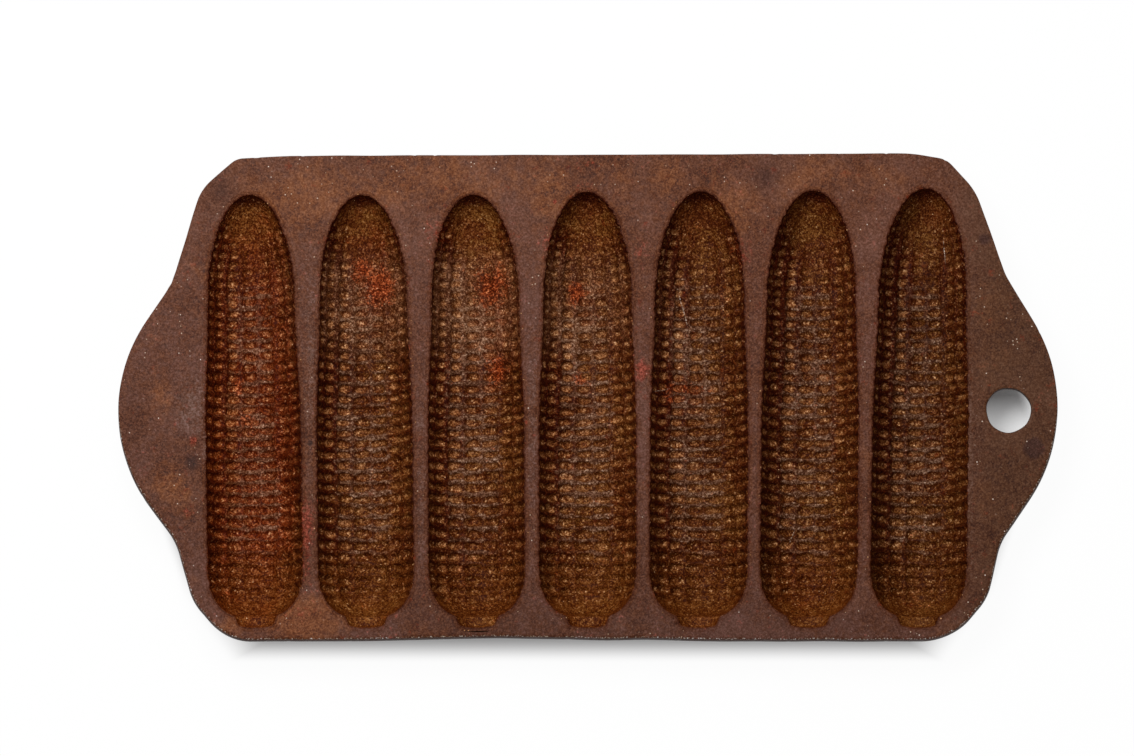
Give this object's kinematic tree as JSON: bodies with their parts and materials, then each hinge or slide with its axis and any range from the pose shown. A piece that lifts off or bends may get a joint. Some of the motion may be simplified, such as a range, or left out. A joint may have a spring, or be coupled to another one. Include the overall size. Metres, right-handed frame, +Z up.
{
  "type": "corn stick pan",
  "caption": "Flat cast iron baking pan with a row of long ear of corn moulds and a rounded handle at each end, one with a hanging hole.",
  "frame": {"origin": "centre of the pan's footprint, on the plane that it stands on", "axes": "+X along the row of ears towards the handle with the hanging hole, +Y towards the tips of the ears, +Z up out of the moulds"},
  "size_m": [0.3385, 0.1769, 0.023],
  "materials": {
    "bare_iron": "worn brown seasoning over cast iron, satin, with light grazing and rust tints",
    "seasoned_iron": "brown seasoning worn to grey iron on the kernel ridges, with patches of orange rust"
  },
  "bodies": {
    "root": {"top_plate": "bare_iron", "left_handle": "bare_iron", "right_handle": "bare_iron", "ear_mould_1": "seasoned_iron", "ear_mould_2": "seasoned_iron", "ear_mould_3": "seasoned_iron", "ear_mould_4": "seasoned_iron", "ear_mould_5": "seasoned_iron", "ear_mould_6": "seasoned_iron", "ear_mould_7": "seasoned_iron"}
  },
  "joints": []
}
